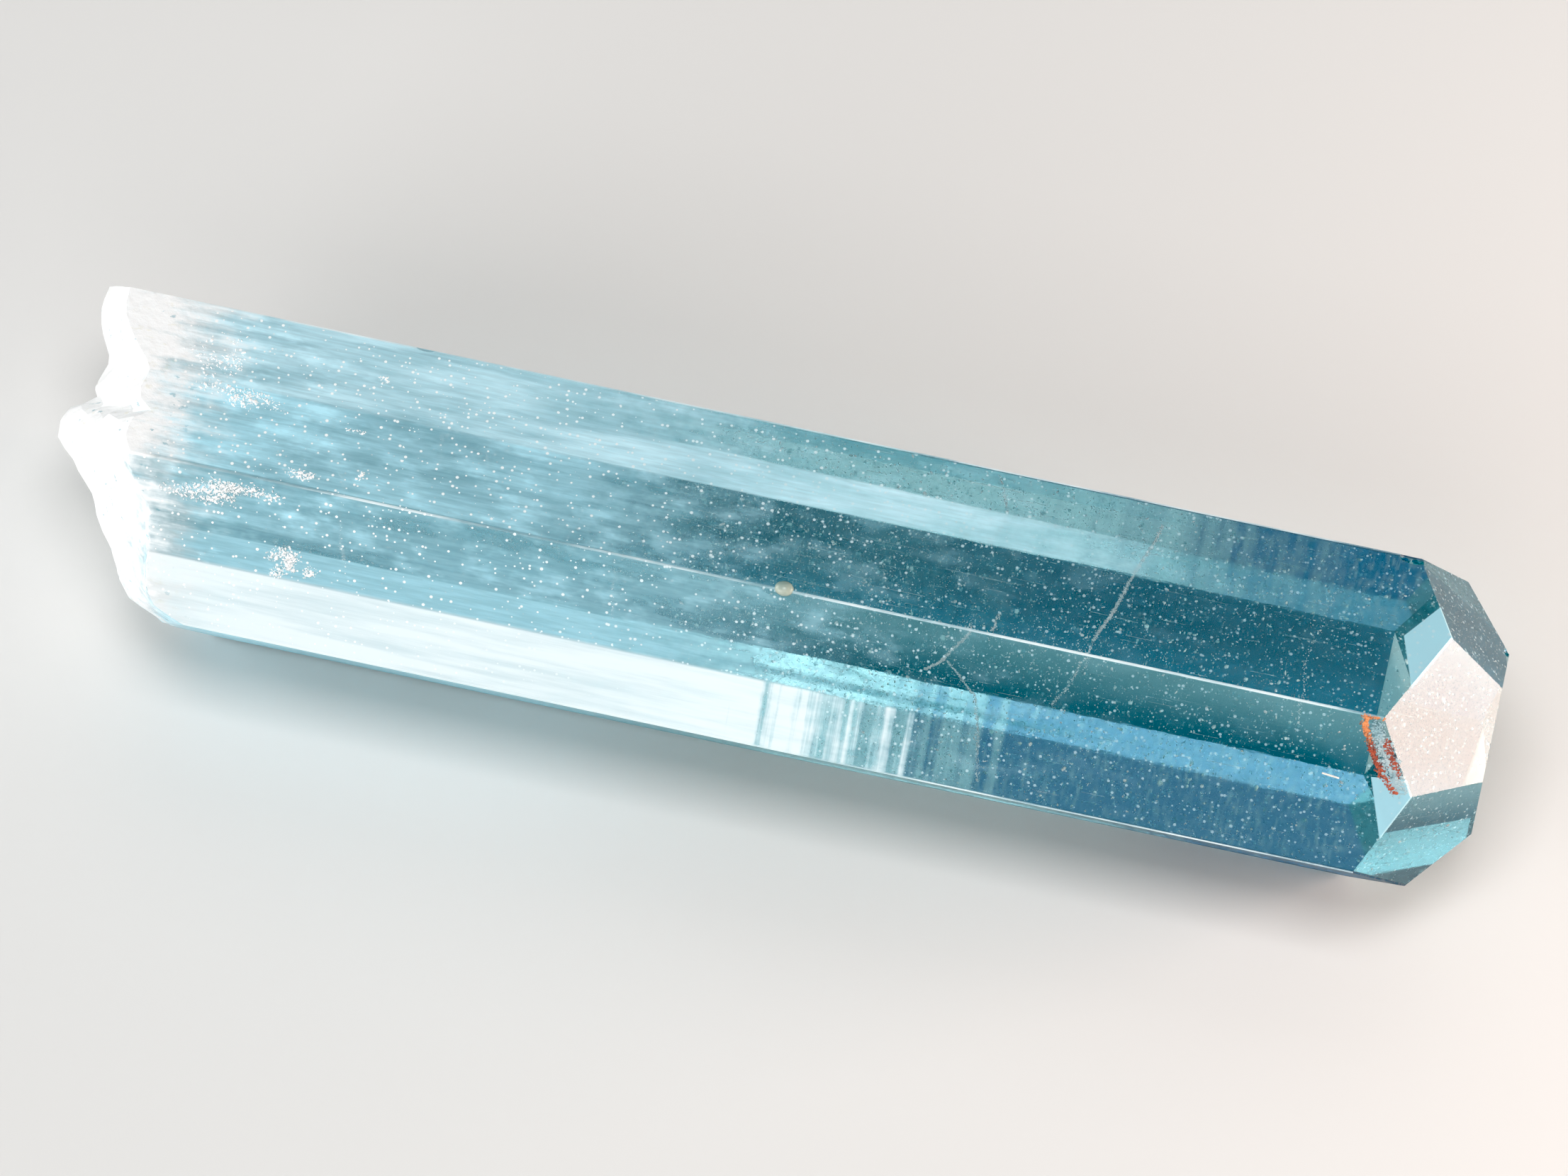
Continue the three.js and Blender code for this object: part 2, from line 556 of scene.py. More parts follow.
# Where the painted pale bands and stripes start, in millimetres across; they stand for the
# lamps seen by inner reflection.
PAINTED_LOWER_BAND_AT, PAINTED_LOWER_STRIPE_AT = 3.55, 2.34
PAINTED_UPPER_BAND_AT, PAINTED_UPPER_STRIPE_TO = 3.45, 4.8
# Turn, corner from the axis and lean of each painted highlight along an edge.
PAINTED_EDGE_HIGHLIGHTS = ((122, 7.497, 0.00093), (60, 7.322, 0.00101), (180, 7.431, 0))
# The face of each pale patch, and how far each of the two lines that limit it
# slants and lies from the nose.
PALE_PATCHES = (
    (TOP, ((0.37, 55.27), (-0.833, 51.31))),
    (FRONT, ((0.352, 53.12), (-8.0, 72.6))),
)


def growth_masks(tree):
    """The patterns and faces that several parts of the finish share."""
    nose = use_group(tree, "crystal place")["From Nose"]
    streaks = arithmetic(tree, "SUBTRACT", grain(tree, 0.12, 1.9, 4.0), 0.5)
    blotches = arithmetic(tree, "SUBTRACT", grain(tree, 1.0, 1.3, 3.0, 7.0), 0.5)
    bars = arithmetic(tree, "SUBTRACT", grain(tree, 1.9, 0.05, 4.0, 11.0), 0.5)
    faces = {turn: on_face(tree, turn) for turn in SIDE_AWAY}
    matt = arithmetic(tree, "ADD", faces[LOWER], faces[REAR], clamp=True)
    return SimpleNamespace(
        nose=nose,
        streaks=streaks,
        blotches=blotches,
        drift=shifted(tree, nose, blotches, 9.0),
        barred=shifted(tree, shifted(tree, nose, bars, 17.0), blotches, 4.0),
        cloudy=ramp(tree, grain(tree, 0.16, 1.1, 4.0, 3.0), 0.32, 0.68, 0.7, 1.15),
        fine=grain(tree, 0.5, 6.0, 3.0),
        faces=faces,
        matt=matt,
    )


def white_base(tree, its):
    """White by the base, in streaks that run along the crystal."""
    reach = shifted(tree, its.nose, its.streaks, 5.0)
    reach = shifted(tree, reach, its.blotches, 4.0)
    return ramp(tree, reach, 3.8, 8.2, 1.0, 0.0)


def milkiness(tree, its):
    """A blue milkiness that clears towards the grown end, and thin clouds beyond."""
    drift_on_front = shifted(tree, its.drift, its.faces[FRONT], -5.5)
    fading = arithmetic(
        tree,
        "ADD",
        ramp(tree, drift_on_front, 18.5, 31.0, MILKINESS, 0.04),
        ramp(tree, its.drift, 4.5, 14.0, 0.35, 0.0),
    )
    thinner = ramp(tree, its.faces[FRONT], 0, 1, 1.0, 0.62)
    wisps = product(
        tree,
        ramp(tree, grain(tree, 0.55, 1.2, 3.0, 21.0), 0.46, 0.74, 0.0, 0.26),
        ramp(tree, its.nose, 24, 50, 1.0, 0.12),
        ramp(tree, its.matt, 0, 1, 1.0, 0.0),
    )
    return arithmetic(tree, "ADD", product(tree, its.cloudy, fading, thinner), wisps)


def painted_lower_band(tree, its):
    """Painted light over real milkiness: the white band along the lower edge of the front
    face, where the lamps show by inner reflection; it ends in bars.
    """
    return product(
        tree,
        ramp(tree, its.barred, 31.0, 36.5, 0.87, 0.0),
        beyond(tree, -ACROSS, PAINTED_LOWER_BAND_AT, 0.2),
        its.faces[FRONT],
        ramp(tree, its.streaks, -0.2, 0.1, 0.84, 1.0),
    )


def painted_lower_stripe(tree, its):
    """Painted light: the milky stripe along the inner side of the lower band, where a lamp
    shows by inner reflection.
    """
    return product(
        tree,
        its.faces[FRONT],
        ramp(tree, its.drift, 22, 38, 0.55, 0.0),
        beyond(tree, -ACROSS, PAINTED_LOWER_STRIPE_AT, 0.15),
    )


def painted_upper_band(tree, its):
    """Painted light over real milkiness: the pale band along the upper edge, where the
    lamps show by inner reflection; its inner stripe reaches furthest.
    """
    inner = beyond(tree, -ACROSS, -PAINTED_UPPER_STRIPE_TO, 0.2)
    reach = shifted(tree, its.drift, inner, -15.0)
    return product(
        tree,
        ramp(tree, reach, 18.0, 34.0, 0.74, 0.0),
        beyond(tree, ACROSS, PAINTED_UPPER_BAND_AT, 0.15),
        its.cloudy,
    )


def pale_patches(tree, its):
    """Two pale patches by the large pyramid face, between slanting lines."""
    patched = 0.0
    for turn, limits in PALE_PATCHES:
        lines = [beyond(tree, ALONG + ACROSS * slant, at, 0.06) for slant, at in limits]
        patch = product(tree, its.faces[turn], *lines)
        patched = arithmetic(tree, "ADD", patch, patched)
    return product(tree, patched, 0.66)


def specks_and_painted_highlights(tree, its):
    """White specks, and the painted highlights along three of the edges."""
    dots = product(
        tree,
        specks(tree, 4.6, 0.42, 0.72),
        ramp(tree, its.drift, 10, 50, 1, 0.35),
        ramp(tree, its.matt, 0, 1, 1.0, 0.35),
    )
    highlight_share = ramp(tree, its.cloudy, 0.7, 1.15, 0.3, 0.85)
    edge_highlights = [product(tree, painted_edge_highlight(tree, *edge), highlight_share) for edge in PAINTED_EDGE_HIGHLIGHTS]
    return highest(tree, dots, *edge_highlights)


def painted_shade_mask(tree, its):
    """Painted shade: a dark blue tint on the two matt faces by the grown end, which
    darkens what is seen through them.
    """
    lower = product(
        tree, its.faces[LOWER], ramp(tree, its.barred, 30, 40, 0.0, 0.97)
    )
    rear = product(tree, its.faces[REAR], ramp(tree, its.barred, 36, 50))
    shade_mottle = ramp(tree, grain(tree, 5.5, 1.7, 4.0, 9.0), 0.3, 0.5, 0.86, 1.0)
    return product(tree, arithmetic(tree, "ADD", lower, rear, clamp=True), shade_mottle)


def relief(tree, its):
    """Fine grooves along the crystal, and a rocky base."""
    grooves = product(tree, its.fine, ramp(tree, its.nose, 50, 54, 0.027, 0.003))
    rocky = product(
        tree, grain(tree, 2.2, 2.2, 3.0), ramp(tree, its.nose, 4.5, 7.5, 1.0, 0.0)
    )
    bump = node(tree, "Bump")
    bump.inputs["Strength"].default_value = 0.5
    bump.inputs["Distance"].default_value = RELIEF_DEPTH
    tree.links.new(arithmetic(tree, "ADD", grooves, rocky), bump.inputs["Height"])
    return bump.outputs[0]


def chalk_colour(tree, base, paler_specks_and_painted_light):
    """White at the base, with a few stains and cracks, and blue-white beyond."""
    patches = grain(tree, 1.6, 2.6, 3.0, 17.0)
    stains = ramp(tree, patches, 0.60, 0.76, 0.0, 0.4)
    cracks = ramp(tree, patches, 0.29, 0.34, 0.7, 0.0)
    white = blend(tree, stains, BASE_WHITE, STAIN_TINT)
    white = blend(tree, cracks, white, CRACK_TINT)
    return blend(tree, base, blend(tree, paler_specks_and_painted_light, MILK_TINT, PALE_TINT), white)


def aquamarine():
    """Clear blue crystal: white by its base, milky beyond it, with painted light in pale
    bands and edge highlights, and painted shade on two faces.
    """
    settings = bpy.context.scene.aqua_crystal
    material, tree, glass, output = new_material("aquamarine")
    its = growth_masks(tree)
    base = white_base(tree, its)
    # Painted light: the pale bands where the lamps show by inner reflection join the
    # milkiness.
    painted_upper = painted_upper_band(tree, its)
    milk_and_painted_bands = highest(tree, milkiness(tree, its), painted_upper, painted_lower_stripe(tree, its))
    milk_and_painted_bands = product(tree, milk_and_painted_bands, ramp(tree, its.fine, 0.3, 0.7, 0.88, 1.12))
    milk_and_painted_bands = highest(tree, milk_and_painted_bands, pale_patches(tree, its))
    # Painted light: the edge highlights and the lower band join the white specks.
    specks_and_painted_light = highest(tree, specks_and_painted_highlights(tree, its), painted_lower_band(tree, its))
    white = highest(tree, milk_and_painted_bands, specks_and_painted_light)
    white = arithmetic(tree, "MAXIMUM", base, white, clamp=True)

    bump = relief(tree, its)
    # Painted shade: a dark blue tint on the two matt faces by the grown end.
    shade_tint = blend(tree, painted_shade_mask(tree, its), CLEAR, PAINTED_SHADE_TINT)
    tree.links.new(shade_tint, glass.inputs["Base Color"])
    polish = ramp(tree, its.fine, 0.3, 0.8, 0.01, 0.045)
    rough = shifted(tree, polish, its.matt, MATT_ROUGHNESS)
    tree.links.new(rough, glass.inputs["Roughness"])
    tree.links.new(bump, glass.inputs["Normal"])
    glass.inputs["IOR"].default_value = settings.ior
    glass.inputs["Transmission Weight"].default_value = 1.0

    chalk = node(tree, "BsdfPrincipled")
    # Where the specks and the painted light lie, the chalk is paler.
    paler_specks_and_painted_light = highest(tree, specks_and_painted_light, product(tree, painted_upper, 0.3))
    tree.links.new(chalk_colour(tree, base, paler_specks_and_painted_light), chalk.inputs["Base Color"])
    chalk.inputs["Roughness"].default_value = 0.6
    chalk.inputs["IOR"].default_value = settings.ior
    chalk.inputs["Transmission Weight"].default_value = 0.05
    tree.links.new(bump, chalk.inputs["Normal"])

    mixed = node(tree, "MixShader")
    tree.links.new(white, mixed.inputs[0])
    tree.links.new(glass.outputs[0], mixed.inputs[1])
    tree.links.new(chalk.outputs[0], mixed.inputs[2])
    tree.links.new(mixed.outputs[0], output.inputs["Surface"])
    depth = node(tree, "VolumeAbsorption")
    depth.inputs["Color"].default_value = (*settings.depth_colour, 1.0)
    depth.inputs["Density"].default_value = settings.depth_density
    tree.links.new(depth.outputs["Volume"], output.inputs["Volume"])
    return material


# ---------------------------------------------------------------- the crystal
class AQUA_OT_crystal(Operator):
    """Make the clear crystal from its CAD solid"""

    bl_idname = "aqua.crystal"
    bl_label = "Crystal"

    def execute(self, context):
        make_place_group()
        make_grain_group()
        make_face_group()
        make_speck_group()
        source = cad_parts["crystal"]
        body = bpy.data.objects.new("crystal_body", source.data.copy())
        context.scene.collection.objects.link(body)
        only(body)
        bpy.ops.mesh.customdata_custom_splitnormals_clear()
        bpy.ops.object.mode_set(mode="EDIT")
        bpy.ops.mesh.select_all(action="SELECT")
        bpy.ops.mesh.remove_doubles(threshold=1e-7)
        bpy.ops.mesh.dissolve_limited(angle_limit=math.radians(0.3))
        bpy.ops.mesh.faces_shade_flat()
        bpy.ops.object.mode_set(mode="OBJECT")
        body.data.materials.clear()
        body.data.materials.append(aquamarine())
        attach(body, "root")
        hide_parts("crystal")
        return {"FINISHED"}


# ---------------------------------------------------------------- sealed in it
def haze_density(points):
    """How thick the fine haze is at each point: 1 or more keeps every speck."""
    from_nose = (points[:, 0] - NOSE) / MM
    stations = (0, 8, 18, 26, 34, 46, 58)
    falling = np.interp(from_nose, stations, (0.9, 0.8, 0.72, 0.5, 0.3, 0.14, 0.06))
    broad = clouds(points, (5 * MM, 1.6 * MM, 1.6 * MM), 3)
    small = clouds(points, (1.1 * MM, 0.6 * MM, 0.6 * MM), 4)
    return falling * np.clip(2.2 * (0.6 * broad + 0.4 * small) - 0.45, 0.04, 1.4)


BARE_BASE = 3.5 * MM  # how far from the nose nothing is sown


def sow(count, rng, margin, density):
    """Random points in the crystal, kept where density allows."""
    low, high = (np.array(corner) for corner in CAD_BOX)
    kept = np.zeros((0, 3))
    while len(kept) < count:
        tried = rng.uniform(low, high, (count * 3, 3))
        tried = tried[within(tried, margin)]
        tried = tried[(tried[:, 0] - NOSE) > BARE_BASE]
        tried = tried[rng.random(len(tried)) < density(tried)]
        tried = tried[past_base(tried) > margin]
        kept = np.concatenate((kept, tried))
    return kept[:count]


# The two upper faces: turn, distance from the axis at mid-length, the turn at which
# sight goes on inside, and where they meet, in millimetres across.
SIGHT = ((TOP, 6.36, 289.6), (FRONT, 6.57, 312.7))
RIDGE_AT = 0.04


def sunk(from_nose, across, deep):
    """Points that lie deep below the upper faces, on the way that sight takes in.

    Each is placed where it is seen, in millimetres from the nose and across.
    """
    from_nose, across, deep = np.broadcast_arrays(from_nose, across, deep)
    points = np.zeros((len(from_nose), 3))
    for turn, away, inward in SIGHT:
        mine = across > RIDGE_AT if turn == TOP else across <= RIDGE_AT
        face = outwards(turn)
        near = (away - across * face.dot(ACROSS)) / face.dot(NEAR)
        start = places(LENGTH / MM - from_nose, across, near)
        found = start + np.outer(deep * MM, outwards(inward))
        points[mine] = found[mine]
    return points


class AQUA_OT_haze(Operator):
    """Make the fine specks that cloud the crystal towards its base"""

    bl_idname = "aqua.haze"
    bl_label = "Haze of fine specks"

    def execute(self, context):
        material = matt_mineral("pale_specks", (0.95, 0.97, 0.98), (0.86, 0.92, 0.94))
        count = context.scene.aqua_crystal.haze_count
        rng = np.random.default_rng(100)
        centres = sow(count, rng, 0.1 * MM, haze_density)
        size = sizes(rng, count, 0.034, 0.35)
        scales = size[:, None] * rng.uniform(0.6, 1.4, (count, 3))
        piece = scatter("haze_specks", "chip", centres, scales, turns(count, rng))
        settle(piece, material)
        return {"FINISHED"}


class AQUA_OT_flakes(Operator):
    """Make the larger white flakes that are scattered through the crystal"""

    bl_idname = "aqua.flakes"
    bl_label = "White flakes"

    def execute(self, context):
        material = matt_mineral("white_flakes", (0.98, 0.99, 0.99), (0.9, 0.93, 0.94))
        count = context.scene.aqua_crystal.flake_count
        rng = np.random.default_rng(7)

        def density(points):
            return 0.12 + 0.88 * haze_density(points)

        centres = sow(count, rng, 0.15 * MM, density)
        size = sizes(rng, count, 0.055, 0.45, 0.2)
        scales = size[:, None] * rng.uniform(0.6, 1.4, (count, 3))
        piece = scatter("white_flakes", "flake", centres, scales, turns(count, rng))
        settle(piece, material)
        return {"FINISHED"}


class AQUA_OT_tubes(Operator):
    """Make the fine tubes that run along the crystal"""

    bl_idname = "aqua.tubes"
    bl_label = "Growth tubes"

    def execute(self, context):
        material = matt_mineral("pale_tubes", (0.95, 0.97, 0.98), (0.8, 0.9, 0.93))
        count = context.scene.aqua_crystal.tube_count
        rng = np.random.default_rng(21)

        def density(points):
            bundles = clouds(points, (30 * MM, 0.7 * MM, 0.7 * MM), 9)
            from_nose = (points[:, 0] - NOSE) / MM
            falling = np.interp(from_nose, (0, 20, 58), (1.0, 0.5, 0.08))
            return falling * np.clip(3.0 * bundles - 1.3, 0.02, 1.0)

        centres = sow(count, rng, 0.1 * MM, density)
        length = sizes(rng, count, 0.9, 0.6)
        room = (centres[:, 0] - NOSE - 4.0 * MM).clip(0.2 * MM)
        room = np.minimum(room, past_base(centres))
        ahead = (END - 6.0 * MM - centres[:, 0]).clip(0.2 * MM)
        length = np.minimum(length, 1.6 * np.minimum(room, ahead))
        width = rng.uniform(0.006, 0.014, count) * MM
        scales = np.stack((length, width, width), axis=1)
        piece = scatter("growth_tubes", "needle", centres, scales)
        settle(piece, material)
        return {"FINISHED"}


# Healed cracks: how far each point of the line lies from the nose and across,
# how deep the sheet goes below the surface, and how many flakes heal it.
VEILS = (
    (((44.0, 5.6), (43.2, 3.0), (42.4, 0.6)), 0.2, 1.6, 1500),
    (((42.4, 0.6), (42.0, -0.8), (41.3, -2.2)), 0.4, 3.0, 260),
    (((37.3, 6.2), (38.0, 4.9), (37.6, 3.5)), 0.2, 1.2, 300),
    (((37.66, 0.05), (36.9, -1.2), (36.2, -1.85)), 0.2, 1.6, 800),
    (((36.9, -1.3), (38.3, -2.45), (39.0, -5.7)), 0.2, 1.2, 700),
    (((38.55, 0.9), (38.45, 0.15)), 0.1, 1.0, 120),
    (((11.5, 2.1), (12.6, 0.4), (12.8, -1.8), (13.2, -2.6)), 0.0, 0.5, 800),
    (((10.7, 2.7), (11.3, 3.35), (12.2, 3.5)), 0.0, 0.3, 220),
    (((15.7, 3.3), (16.0, 1.95)), 0.0, 0.4, 160),
    (((17.5, 3.6), (17.9, 1.8)), 0.0, 0.4, 160),
    (((23.55, -0.5), (23.8, -2.4)), 0.0, 0.6, 160),
    (((51.2, 4.6), (50.6, 1.5), (50.9, -1.0)), 0.6, 3.0, 160),
)
# How far a sheet's line wanders and how often, how much its flakes scatter, and how
# far it leans back for each millimetre of depth.
VEIL_WAVE, VEIL_WAVES, VEIL_SCATTER, VEIL_LEAN = 0.04, 11.0, 0.035, 0.05
# White clouds: from the nose, across, half-length, half-width, and flakes.
CLOUDS = (
    (8.2, 3.0, 1.5, 0.5, 1500),
    (8.0, -0.7, 1.6, 0.45, 1500),
    (10.9, -2.86, 0.55, 0.5, 900),
    (10.9, 0.45, 0.6, 0.22, 420),
    (13.1, 1.0, 0.16, 0.14, 70),
    (12.4, 2.66, 0.35, 0.06, 60),
    (12.96, 4.8, 0.2, 0.15, 80),
    (6.4, 4.6, 1.2, 0.9, 900),
)
# Each cloud's clumps: how many, how far apart, and how wide.
CLUMPS, CLUMPS_APART, CLUMP_WIDTH = 9, 0.5, 0.26


def lay(name, centres, scales, rng, material):
    """One piece of the flakes that lie in the crystal or reach its surface."""
    centres, scales = np.concatenate(centres), np.concatenate(scales)
    clear = within(centres, -0.05 * MM)
    centres, scales = centres[clear], scales[clear]
    matrices = turns(len(centres), rng)
    settle(scatter(name, "flake", centres, scales, matrices), material)


class AQUA_OT_veils(Operator):
    """Make the sheets of flakes that heal the old cracks"""

    bl_idname = "aqua.veils"
    bl_label = "Healed cracks"

    def execute(self, context):
        material = matt_mineral(
            "healed_veils", (0.97, 0.99, 1.0), (0.85, 0.95, 0.97), 0.4
        )
        rng = np.random.default_rng(31)
        centres, scales = [], []
        for line, least, most, count in VEILS:
            stations = np.linspace(0, 1, len(line))
            share = rng.random(count) ** 0.85
            xs = np.interp(share, stations, [x for x, _ in line])
            cross = np.interp(share, stations, [a for _, a in line])
            wave = VEIL_WAVE * np.sin(share * VEIL_WAVES)
            wave = wave + rng.normal(0, VEIL_SCATTER, count)
            deep = least + rng.exponential((most - least) * 0.4, count)
            deep = np.minimum(deep, most + 1.0)
            spots = sunk(xs + wave - VEIL_LEAN * deep, cross, deep)
            size = sizes(rng, count, 0.034, 0.4, 0.09)
            centres.append(spots)
            scales.append(size[:, None] * rng.uniform(0.5, 1.3, (count, 3)))
        lay("healed_veils", centres, scales, rng, material)
        return {"FINISHED"}


class AQUA_OT_clouds(Operator):
    """Make the white clouds of flakes near the base"""

    bl_idname = "aqua.clouds"
    bl_label = "White clouds"

    def execute(self, context):
        material = matt_mineral("white_clouds", (0.99, 0.99, 0.99), (0.93, 0.95, 0.95))
        rng = np.random.default_rng(43)
        centres, scales = [], []
        for x, across, long, wide, count in CLOUDS:
            heads = rng.normal(0, CLUMPS_APART, (CLUMPS, 2))
            mine = heads[rng.integers(0, CLUMPS, count)]
            mine = mine + rng.normal(0, CLUMP_WIDTH, (count, 2))
            deep = rng.exponential(0.12, count) - 0.04
            spots = sunk(x + mine[:, 0] * long, across + mine[:, 1] * wide, deep)
            size = sizes(rng, count, 0.07, 0.4, 0.2)
            centres.append(spots)
            scales.append(size[:, None] * rng.uniform(0.6, 1.3, (count, 3)))
        lay("white_clouds", centres, scales, rng, material)
        return {"FINISHED"}


# ---------------------------------------------------------------- lying on it
# The rusty stain by the edge of the large pyramid face. Each crust follows lines,
# given from the nose and across, and has a number of flakes to each line, a spread
# and two colours.
CRUSTS = (
    (
        "ochre_crust",
        (((54.05, 0.03), (53.3, 0.0), (53.32, -0.5), (53.65, -1.0)),),
        (520, 0.07),
        ((0.86, 0.34, 0.15), (0.62, 0.24, 0.12)),
    ),
    (
        "rust_crust",
        (
            ((53.6, -0.95), (53.95, -1.6), (54.35, -2.15), (54.95, -2.75)),
            ((54.2, -0.85), (54.6, -1.5), (55.0, -2.1)),
        ),
        (700, 0.075),
        ((0.55, 0.14, 0.08), (0.36, 0.10, 0.07)),
    ),
    (
        "grey_film",
        (((53.75, -0.3), (54.15, -1.1), (54.7, -2.0), (55.15, -2.6)),),
        (2200, 0.17),
        ((0.34, 0.50, 0.55), (0.50, 0.60, 0.63)),
    ),
)


class AQUA_OT_stain(Operator):
    """Make the rusty crust beside the large pyramid face"""

    bl_idname = "aqua.stain"
    bl_label = "Rusty stain"

    def execute(self, context):
        rng = np.random.default_rng(57)
        flat = Vector((0, 0, 1)).rotation_difference(outwards(FRONT)).to_matrix()
        for name, lines, (count, spread), colours in CRUSTS:
            runs = []
            for line in lines:
                corners = np.array(line)
                stations = np.linspace(0, 1, len(corners))
                share = rng.random(count)
                runs.append(
                    [np.interp(share, stations, corners[:, axis]) for axis in (0, 1)]
                )
            spots = np.concatenate(runs, axis=1).T
            spots += rng.normal(0, spread, spots.shape)
            spots = spots[spots[:, 1] < 0.0]
            many = len(spots)
            centres = sunk(spots[:, 0], spots[:, 1], rng.uniform(-0.01, 0.02, many))
            size = sizes(rng, many, 0.048, 0.4)[:, None]
            scales = size * rng.uniform((0.7, 0.7, 0.3), (1.4, 1.4, 0.5), (many, 3))
            clear = within(centres, -0.03 * MM)
            centres, scales = centres[clear], scales[clear]
            matrices = np.broadcast_to(np.array(flat), (len(centres), 3, 3))
            piece = scatter(name, "flake", centres, scales, matrices)
            settle(piece, matt_mineral(name, *colours, 0.8))
        return {"FINISHED"}


# Where the grain and the fibre lie, as from the nose, across and how deep, and their
# sizes, in millimetres.
GRAIN_AT, GRAIN_RADIUS = ((30.2,), (0.12,), (0.05,)), 0.34
FIBRE_AT, FIBRE_RADIUS, FIBRE_LENGTH = ((52.4,), (-2.6,), (-0.03,)), 0.035, 0.7


class AQUA_OT_grain(Operator):
    """Make the pale grain and the fibre that lie on the crystal"""

    bl_idname = "aqua.grain"
    bl_label = "Grain and fibre"

    def execute(self, context):
        cream = matt_mineral("cream_grain", (0.46, 0.50, 0.42), (0.30, 0.38, 0.34), 0.3)
        spot = Vector(sunk(*GRAIN_AT)[0])
        bpy.ops.object.select_all(action="DESELECT")
        bpy.ops.mesh.primitive_ico_sphere_add(
            subdivisions=4, radius=GRAIN_RADIUS * MM, location=spot
        )
        bead = context.active_object
        bead.name = "cream_grain"
        bpy.ops.object.mode_set(mode="EDIT")
        bpy.ops.transform.resize(value=(1.1, 0.9, 0.75))
        bpy.ops.transform.vertex_random(offset=0.012 * MM, seed=5)
        bpy.ops.object.mode_set(mode="OBJECT")
        bpy.ops.object.transform_apply(location=True, rotation=True, scale=True)
        bpy.ops.object.shade_smooth()
        settle(bead, cream)

        pale = matt_mineral("pale_fibre", (0.95, 0.90, 0.84), (0.85, 0.80, 0.75), 0.6)
        spot = Vector(sunk(*FIBRE_AT)[0])
        bpy.ops.object.select_all(action="DESELECT")
        bpy.ops.mesh.primitive_cylinder_add(
            vertices=10,
            radius=FIBRE_RADIUS * MM,
            depth=FIBRE_LENGTH * MM,
            location=spot,
        )
        fibre = context.active_object
        fibre.name = "pale_fibre"
        bpy.ops.object.mode_set(mode="EDIT")
        bpy.ops.mesh.select_all(action="SELECT")
        bpy.ops.transform.rotate(
            value=math.radians(80), orient_axis="Y", center_override=spot
        )
        bpy.ops.mesh.subdivide(number_cuts=4)
        bpy.ops.transform.vertex_random(offset=0.008 * MM, seed=2)
        bpy.ops.object.mode_set(mode="OBJECT")
        bpy.ops.object.transform_apply(location=True, rotation=True, scale=True)
        settle(fibre, pale)
        return {"FINISHED"}


# ---------------------------------------------------------------- the stage
def round_at(turn, distance):
    """A point at a turn about the crystal."""
    return AXIS + outwards(turn) * distance


WHITE = (1.0, 1.0, 1.0)
PINKISH = (1.0, 0.79, 0.68)
# Each light: its place, its width and height, its radiance and its colour.
LIGHTS = (
    ("back_softbox", round_at(58, 0.8), (0.40, 0.35), 0.82, WHITE),
    ("low_softbox", round_at(176, 0.9), (0.40, 0.25), 0.58, WHITE),
    ("front_softbox", round_at(140, 0.7), (0.4, 0.2), 2.2, WHITE),
    ("top_softbox", round_at(104, 0.6), (0.30, 0.20), 9.8, WHITE),
    ("key_softbox", Vector((-0.45, -0.55, 0.25)), (0.5, 0.4), 4.4, WHITE),
    ("base_softbox", Vector((-0.40, 0.0, 0.09)), (0.2, 0.14), 5.5, WHITE),
    ("end_softbox", Vector((0.125, 0.008, 0.026)), (0.08, 0.05), 14.0, PINKISH),
)
LIGHTS_AIM = Vector((0, 0, 0.007))
SURROUND = 0.14  # strength of the even light from all round
BLACK_LEVEL = (0.07, 0.05, 0.045)
# The floor's height, and that of the painted shadow card: a dark sheet under the crystal
# where its shade falls.
FLOOR_AT, SHADOW_CARD_AT = -0.15 * MM, -0.1 * MM
# The painted shadow card's middle and length over X and its ends over Y, in millimetres,
# and its colours: most of it, its rear and its front.
SHADOW_CARD_MIDDLE, SHADOW_CARD_LENGTH = 1.5, 46.0
SHADOW_CARD_SPAN = (-0.9, 7.5)
SHADOW_CARD_COLOURS = ((0.0, 0.14, 0.22), (0.46, 0.62, 0.68), (0.02, 0.25, 0.38))
# How far the view's middle lies from the axis's, and the camera towards the end.
VIEW_SHIFT = 0.63 * MM
CAMERA_AHEAD = 27 * MM


def softbox(name, origin, size, radiance, colour):
    """A rectangular light that faces the crystal from origin."""
    lamp = bpy.data.lights.new(name, "AREA")
    lamp.shape = "RECTANGLE"
    lamp.size, lamp.size_y = size
    lamp.energy = radiance * size[0] * size[1] * math.pi
    lamp.color = colour
    piece = bpy.data.objects.new(name, lamp)
    bpy.context.scene.collection.objects.link(piece)
    piece.visible_camera = False
    aim(piece, origin, LIGHTS_AIM)


def plane(name, size, location):
    """A level square of the stage, with a matt material, and its node tree."""
    bpy.ops.object.select_all(action="DESELECT")
    bpy.ops.mesh.primitive_plane_add(size=size, location=location)
    piece = bpy.context.active_object
    piece.name = name
    material, tree, coat, _ = new_material(name)
    piece.data.materials.append(material)
    return piece, tree, coat


def make_floor(colour):
    """The plain pale floor."""
    _, _, coat = plane("floor", 4.0, (0, 0, FLOOR_AT))
    coat.inputs["Base Color"].default_value = (*colour, 1)
    coat.inputs["Roughness"].default_value = 0.85


